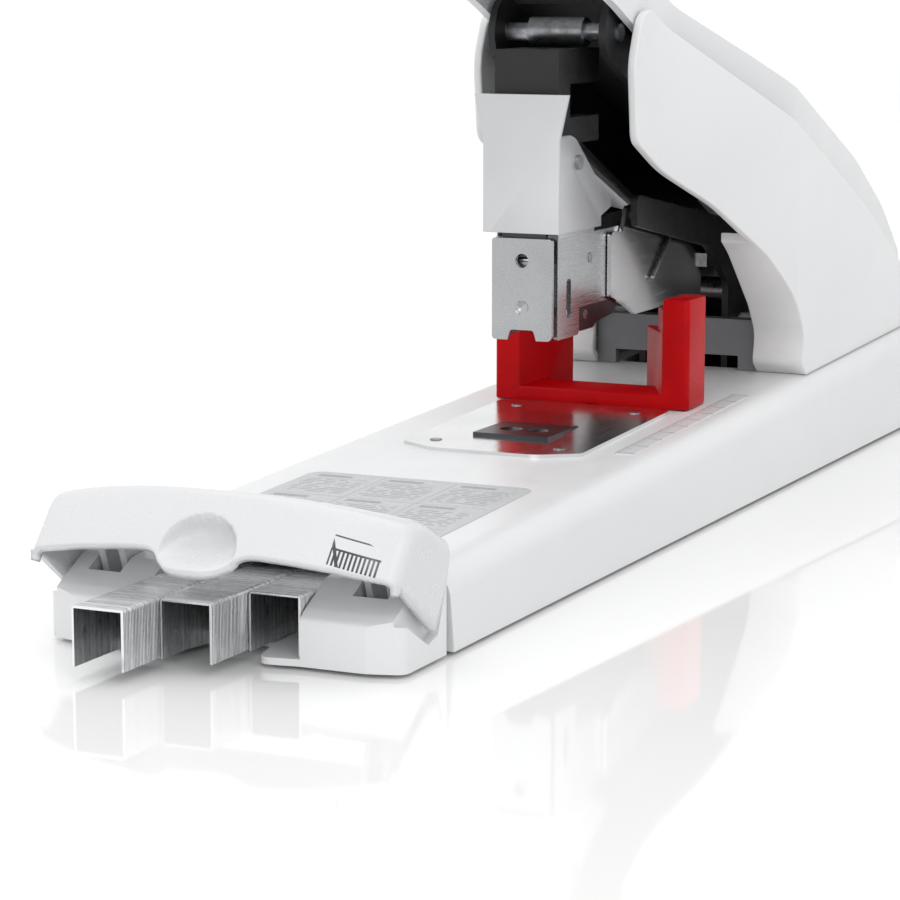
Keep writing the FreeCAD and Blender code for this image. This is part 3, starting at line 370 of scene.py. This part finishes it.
# ---------------------------------------------------------------- surfaces from formulas
def mesh_of(name, points, quads, slot_name=None, smooth=True):
    """Object from an (n, 3) array in millimetres and an (m, 4) array of corner numbers."""
    points = np.asarray(points, dtype=np.float64) * MM
    quads = np.asarray(quads, dtype=np.int32)
    mesh = bpy.data.meshes.new(name)
    mesh.vertices.add(len(points))
    mesh.vertices.foreach_set("co", points.ravel())
    mesh.loops.add(quads.size)
    mesh.loops.foreach_set("vertex_index", quads.ravel())
    mesh.polygons.add(len(quads))
    mesh.polygons.foreach_set("loop_start", np.arange(len(quads), dtype=np.int32) * quads.shape[1])
    mesh.polygons.foreach_set("loop_total", np.full(len(quads), quads.shape[1], dtype=np.int32))
    mesh.update(calc_edges=True)
    mesh.polygons.foreach_set("use_smooth", np.full(len(quads), smooth))
    made = bpy.data.objects.new(name, mesh)
    bpy.context.scene.collection.objects.link(made)
    if slot_name:
        mesh.materials.append(FINISH[slot_name])
    return made


def grid_quads(rows, columns, around=False):
    """Corner numbers of a grid of points; around joins the last column to the first."""
    r = np.arange(rows - 1)[:, None]
    c = np.arange(columns if around else columns - 1)[None, :]
    after = (c + 1) % columns
    corner = [r * columns + c, r * columns + after, (r + 1) * columns + after, (r + 1) * columns + c]
    return np.stack([np.broadcast_to(q, (rows - 1, c.size)) for q in corner], axis=-1).reshape(-1, 4)


def coil_wire(name, base, axis, radius, wire_r, length, turns, slot_name):
    """A coil spring of round wire.

    The centre line is (radius cos a, radius sin a, length x a / (2 pi x turns)) for a from 0 to
    2 pi x turns, with its third direction laid along axis from base. A circle of radius wire_r in the
    plane of the outward direction and (tangent x outward) is carried along it. All in millimetres.
    """
    a = np.linspace(0, 2 * math.pi * turns, int(turns * STEPS_A_TURN) + 1)[:, None]
    nought = np.zeros_like(a)
    out = np.concatenate([np.cos(a), np.sin(a), nought], axis=1)
    rise = length * a / (2 * math.pi * turns)
    line = radius * out + np.concatenate([nought, nought, rise], axis=1)
    tangent = np.gradient(line, axis=0)
    tangent /= np.linalg.norm(tangent, axis=1, keepdims=True)
    up = np.cross(tangent, out)
    turn = (np.arange(WIRE_SIDES) * 2 * math.pi / WIRE_SIDES)[None, :, None]
    rings = line[:, None] + wire_r * (np.cos(turn) * out[:, None] + np.sin(turn) * up[:, None])
    if axis == "y":
        rings = rings[..., [1, 2, 0]]       # z becomes y, a turn of the three axes
    rings = rings + np.array(base) - [0, MIDDLE, 0]
    rows = len(rings)
    quads = grid_quads(rows, WIRE_SIDES, around=True)
    # the four faces that close a ring of ten corners
    cap = np.array([(0, 1, 2, 9), (2, 3, 8, 9), (3, 4, 7, 8), (4, 5, 6, 7)])
    quads = np.vstack([quads[:, ::-1], cap, cap[:, ::-1] + (rows - 1) * WIRE_SIDES])
    return mesh_of(name, rings.reshape(-1, 3), quads, slot_name)


def staple_stick(name, x, y0, y1, z, height, slot_name):
    """A stick of glued staples.

    The section at station y is an inverted U of width 13 and the given height, 0.6 thick, with rounded
    shoulders of radius 1. Its outline is pushed in along its own normal by depth(y), where depth is
    0.15 x (1 - |sin(pi (y - y0) / pitch)|)^3 and pitch is one wire, so every wire stands out as a ridge
    with a groove on each side.
    """
    half, wall, shoulder = 6.5, 0.6, 1.0
    turn = np.linspace(0, math.pi / 2, 5)
    right = np.stack([half - shoulder + shoulder * np.cos(turn),
                      height - shoulder + shoulder * np.sin(turn)], axis=-1)
    outer = np.vstack([[[half, 0.0]], right, right[::-1] * [-1, 1], [[-half, 0.0]]])
    inner = np.array([[-half + wall, 0.0], [-half + wall, height - wall],
                      [half - wall, height - wall], [half - wall, 0.0]])
    wires = int(round((y1 - y0) / WIRE_PITCH))
    stations = np.linspace(y0, y1, wires * 6 + 1)
    depth = 0.15 * (1 - np.abs(np.sin(math.pi * (stations - y0) / (y1 - y0) * wires))) ** 3
    shrink = depth[:, None]
    ring_x = np.concatenate([outer[:, 0][None, :] - np.sign(outer[:, 0])[None, :] * shrink,
                             np.broadcast_to(inner[:, 0], (len(stations), 4))], axis=1)
    ring_z = np.concatenate([outer[:, 1][None, :] - np.where(outer[:, 1] > 1, 1, 0)[None, :] * shrink,
                             np.broadcast_to(inner[:, 1], (len(stations), 4))], axis=1)
    ring_y = np.broadcast_to(stations[:, None], ring_x.shape)
    rings = np.stack([x + ring_x, ring_y - MIDDLE, z + ring_z], axis=-1)
    rows, columns = rings.shape[:2]
    quads = grid_quads(rows, columns, around=True)
    n = columns
    # seven faces close an end of the U: right leg and shoulder, crown, left shoulder and leg
    end = np.array([(0, 1, 2, n - 1), (2, 3, 4, n - 1), (4, 5, n - 2, n - 1), (5, 6, n - 3, n - 2),
                    (6, 7, 8, n - 3), (8, 9, n - 4, n - 3), (9, 10, 11, n - 4)])
    quads = np.vstack([quads, end[:, ::-1], end + (rows - 1) * columns])
    return mesh_of(name, rings.reshape(-1, 3), quads, slot_name, smooth=False)


# across and along place of each strip's front end
STRIPS = {
    "staple_strip_left": (-13.7, -30.0),
    "staple_strip_middle": (0.0, -16.0),
    "staple_strip_right": (13.7, -1.0),
}
for strip_name, (strip_x, strip_y) in STRIPS.items():
    stick = staple_stick(strip_name + "_wires", strip_x, strip_y, strip_y + STRIP_LONG,
                         STRIP_FLOOR, LEG_HIGH, "staple_wire")
    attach(stick, strip_name.replace("staple_", ""))
    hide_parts(strip_name)
loaded = staple_stick("magazine_staples_wires", 0.0, 168.2, 230.2, 60.2, LEG_HIGH, "staple_wire")
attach(loaded, "drawer")
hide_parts("magazine_staples")

head_coil = coil_wire("head_spring_coil", (0, 185.0, 80.05), "z", 5.0, 0.4, 23.9, 3.5, "spring_steel")
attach(head_coil, "head")
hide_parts("head_spring")
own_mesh(head_coil)
feed_coil = coil_wire("pusher_spring_coil", (0, 245.1, 65.9), "y", 2.5, 0.45, 28.3, 9, "spring_steel")
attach(feed_coil, "drawer")
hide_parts("pusher_spring")
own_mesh(feed_coil)


FLAP_HALF = 46.2        # half the flap's width
BOW_DEEP = 9.2          # how far the flap's front stands forward in the middle
BOW_POWER = 2.6


def flap_height(x, y):
    """Outside of the flap as a height over the plan.

    It is the soft least of three sheets, -k ln(sum of exp(-sheet / k)) with k 0.7: a crown that falls from
    38.9 in the middle to 33 at the ends, a top that slopes down to the rear at 0.545, and a front that
    rises 1 / 0.84 from a bowed line, the bow being 9.2 x (1 - |x / half|^2.6) deep. A quarter circle of
    radius 3 rounds the ends.
    """
    half, k, r = FLAP_HALF, 0.7, 3.0
    part_way = np.clip(np.abs(x) / half, 0, 1)
    crown = 38.9 - 5.9 * part_way ** 2.2
    top = 40.8 - 0.545 * (y + 4.0)
    front = 22.0 + (y + 6.0 + BOW_DEEP * (1 - part_way ** BOW_POWER)) / 0.84
    low = -k * np.log(np.exp(-(crown - 20) / k) + np.exp(-(top - 20) / k) + np.exp(-(front - 20) / k)) + 20
    over = np.clip(np.abs(x) - (half - r), 0, r)
    return low - (r - np.sqrt(np.maximum(r * r - over * over, 0)))


def flap_front_edge(x):
    """Height of the front's lower edge: a long arch with the finger lip hanging from its middle."""
    at = np.array([0, 5.0, 8.0, 9.6, 11.2, 14.0, 22.0, 32.0, 40.0, FLAP_HALF])
    height = np.array([21.9, 22.2, 23.6, 25.4, 26.3, 26.5, 26.0, 24.9, 23.5, 22.4])
    fine = np.linspace(0, FLAP_HALF, 186)
    level = np.interp(fine, at, height)
    level = np.convolve(np.pad(level, 6, mode="reflect"), np.ones(13) / 13, mode="valid")
    return np.interp(np.abs(x), fine, level)


def flap_shell():
    """The flap's skin, 2 thick.

    Rows run from the front's lower edge to the rear, columns across, and both end columns fold down as
    cheeks. The finger dish moves the front along its own normal by -(1 - q)^0.45 (2.2 + 7 s), where
    s = (z - 26.5) / 7 and q = (x / 9.4)^2 + s^2, wherever q is below 1.
    """
    half, wall = FLAP_HALF, 2.0
    side = np.concatenate([np.linspace(-half, -half + 3.2, 10)[:-1], np.linspace(-half + 3.2, -10, 40)[:-1]])
    across = np.concatenate([side, np.linspace(-10, 10, 61), -side[::-1]])
    edge = flap_front_edge(across)
    bow = BOW_DEEP * (1 - np.abs(across / half) ** BOW_POWER)
    first = -6.0 - bow + 0.84 * (edge - 22.0)
    along = np.linspace(0, 1, 90) ** 0.9
    y = first[None, :] + along[:, None] * (20.0 - first[None, :])
    x = np.broadcast_to(across[None, :], y.shape)
    z = flap_height(x, y)
    s = (z - 26.5) / 7.0
    q = (x / 9.4) ** 2 + s ** 2
    on_front = (q < 1) & (y < 2.0)
    move = np.where(on_front, -np.maximum(1 - q, 0) ** 0.45 * (2.2 + 7.0 * s), 0)
    y = y - move * 0.766
    z = z + move * 0.643
    # cheeks: six more columns at each end, from the skin down to the cheek's lower edge
    stations = y[:, 0]
    low = np.interp(stations, [-5.8, 12.0, 13.4, 17.1, 20.0], [22.2, 8.6, 8.2, 14.5, 23.0])
    steps = np.linspace(0, 1, 7)[:-1]
    drop = low[:, None] + steps[None, :] * (z[:, :1] - low[:, None])
    flat_y = np.broadcast_to(stations[:, None], drop.shape)
    left = np.stack([np.full(drop.shape, -half), flat_y, drop], axis=-1)
    right = left[:, ::-1] * [-1, 1, 1]
    outer = np.concatenate([left, np.stack([x, y, z], axis=-1), right], axis=1)
    down = np.gradient(outer, axis=0)
    sideways = np.gradient(outer, axis=1)
    normal = np.cross(sideways, down)
    normal /= np.maximum(np.linalg.norm(normal, axis=-1, keepdims=True), 1e-9)
    inner = outer - wall * normal
    inner[..., 0] = np.clip(inner[..., 0], -half + wall, half - wall)
    rows, columns = outer.shape[:2]
    count = rows * columns
    points = np.vstack([outer.reshape(-1, 3), inner.reshape(-1, 3)]) - [0, MIDDLE, 0]
    sheet = grid_quads(rows, columns)
    ring = np.concatenate([np.arange(columns), np.arange(1, rows) * columns + columns - 1,
                           (rows - 1) * columns + np.arange(columns - 2, -1, -1),
                           np.arange(rows - 2, 0, -1) * columns])
    after = np.roll(ring, -1)
    rim = np.stack([ring, ring + count, after + count, after], axis=-1)
    quads = np.vstack([sheet, sheet[:, ::-1] + count, rim])
    return mesh_of("flap_skin", points, quads, "flap_abs")


def softened(node, width_mm, angle=35.0, segments=3):
    """Merged copy of a CAD piece with its sharp edges rounded."""
    same_place, nearly_flat = 2e-6, math.radians(0.6)
    mesh = bpy.data.objects[node].data.copy()
    work = bmesh.new()
    work.from_mesh(mesh)
    bmesh.ops.remove_doubles(work, verts=work.verts, dist=same_place)
    bmesh.ops.dissolve_limit(work, angle_limit=nearly_flat, verts=work.verts, edges=work.edges)
    work.to_mesh(mesh)
    work.free()
    mesh.polygons.foreach_set("use_smooth", np.full(len(mesh.polygons), True))
    made = bpy.data.objects.new(node + "_softened", mesh)
    bpy.context.scene.collection.objects.link(made)
    bevel = made.modifiers.new("rounded_edges", "BEVEL")
    bevel.width = width_mm * MM
    bevel.segments = segments
    bevel.limit_method = "ANGLE"
    bevel.angle_limit = math.radians(angle)
    bevel.harden_normals = True
    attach(made, body_of[node])
    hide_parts(node)
    return made


def hinge_arms():
    """Four hinge arms, 1.6 thick: each a side outline carried across, with an eye for the pin.

    The outline is a polygon from under the flap's top down to a rounded end, an arc 3.6 by 3.4 about the
    axis (17, 9); the eye is a circle of radius 1.6.
    """
    axis_y, axis_z, thick = 17.0, 9.0, 1.6
    bend = np.linspace(math.radians(170), math.radians(370), 25)
    tip = np.stack([axis_y + 3.6 * np.cos(bend), axis_z + 3.4 * np.sin(bend)], axis=-1)
    upper = np.array([[19.6, 15.0], [18.2, 20.5], [16.6, 26.6], [10.5, 29.6],
                      [5.4, 32.0], [8.2, 22.0], [11.6, 13.0]])
    outline = np.vstack([tip, upper])
    centre = np.array([axis_y, axis_z])
    angle = np.arctan2(*(outline - centre).T[::-1])
    eye = centre + 1.6 * np.stack([np.cos(angle), np.sin(angle)], axis=-1)
    places = (30.4, 35.7, -32.0, -37.3)
    points, quads = [], []
    for x in places:
        rings = []
        for level, line in ((x, eye), (x, outline), (x + thick, outline), (x + thick, eye)):
            rings.append(np.column_stack([np.full(len(line), level), line[:, 0] - MIDDLE, line[:, 1]]))
        ring = np.array(rings + [rings[0]])
        quads.append(grid_quads(5, len(outline), around=True)[:, ::-1] + sum(len(p) for p in points))
        points.append(ring.reshape(-1, 3))
    return mesh_of("flap_hinge_arms", np.vstack(points), np.vstack(quads), "flap_abs", smooth=False)


flap_skin = flap_shell()
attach(flap_skin, "flap")
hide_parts("reserve_flap")
arms = hinge_arms()
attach(arms, "flap")

body_of = {n: name for name, members in frame["record"]["behaviour"]["bodies"].items() for n in members}
ROUNDED = {"paper_stop": 1.1, "head_housing": 0.35, "arm_shell_left": 1.6, "arm_shell_right": 1.6}
for piece, width in ROUNDED.items():
    softened(piece, width)


# ---------------------------------------------------------------- stage, light, camera
def floor():
    """A pale square under the tool, far larger than the view."""
    half = 6.0
    mesh = bpy.data.meshes.new("pale_floor")
    corners = [(-half, -half, 0), (half, -half, 0), (half, half, 0), (-half, half, 0)]
    mesh.from_pydata(corners, [], [(0, 1, 2, 3)])
    made = bpy.data.objects.new("pale_floor", mesh)
    bpy.context.scene.collection.objects.link(made)
    m, t, s, mm = finish_named("white_acrylic_sheet", IOR=1.49, Specular_IOR_Level=0.5)
    haze = noise(t, mm, 400.0, 2.0)
    joined(t, {
        "Base Color": blend(t, haze, "#f6f6f6", "#f9f9f9"),
        "Roughness": spread(t, haze, 0.3, 0.7, 0.03, 0.05),
    }, s)
    mesh.materials.append(m)


def softbox(name, place, aim, wide, high, power, tint="#ffffff"):
    """Rectangular light at place that faces aim."""
    data = bpy.data.lights.new(name, "AREA")
    data.shape = "RECTANGLE"
    data.size, data.size_y = wide, high
    data.energy = power
    data.color = srgb(tint)[:3]
    lamp = bpy.data.objects.new(name, data)
    bpy.context.scene.collection.objects.link(lamp)
    lamp.location = place
    lamp.rotation_euler = (Vector(aim) - Vector(place)).to_track_quat("-Z", "Y").to_euler()


def studio():
    """An even white room, darker to the right, with two lamps and a small fill."""
    world = bpy.data.worlds.new("studio")
    bpy.context.scene.world = world
    world.use_nodes = True
    t = world.node_tree
    t.nodes.clear()
    # white all round, a little darker to the right of the tool
    where = put(t, "ShaderNodeTexCoord")
    rightward = (0.97, -0.24, 0.0)
    facing = put(t, "ShaderNodeVectorMath", {0: where.outputs["Generated"], 1: rightward},
                 operation="DOT_PRODUCT")
    level = spread(t, facing.outputs["Value"], 0.25, 0.95, 1.03, 0.86)
    sky = put(t, "ShaderNodeBackground", {"Color": srgb("#ffffff"), "Strength": level})
    put(t, "ShaderNodeOutputWorld", {"Surface": sky.outputs[0]})
    softbox("overhead", (-0.1, -0.1, 1.3), (0, 0, 0.05), 1.0, 1.0, 2.8)
    softbox("right_front", (0.9, -0.9, 1.1), (0, 0.05, 0.1), 0.6, 0.8, 3.2)
    softbox("front_fill", (0.1, -1.0, 0.3), (0.02, 0.04, 0.09), 0.3, 0.3, 0.7)


def camera():
    """A long lens from the front right, a little above."""
    azimuth, elevation = math.radians(25.0), math.radians(9.54)
    place = (310.81, -547.2 - MIDDLE, 152.54)
    data = bpy.data.cameras.new("view")
    data.sensor_width = 36.0
    data.lens = 116.0
    made = bpy.data.objects.new("view", data)
    bpy.context.scene.collection.objects.link(made)
    made.location = tuple(v * MM for v in place)
    made.rotation_euler = (math.pi / 2 - elevation, 0, azimuth)
    data.clip_start, data.clip_end = 0.01, 50.0
    bpy.context.scene.camera = made


floor()
studio()
camera()
bpy.context.scene.view_settings.view_transform = "Standard"
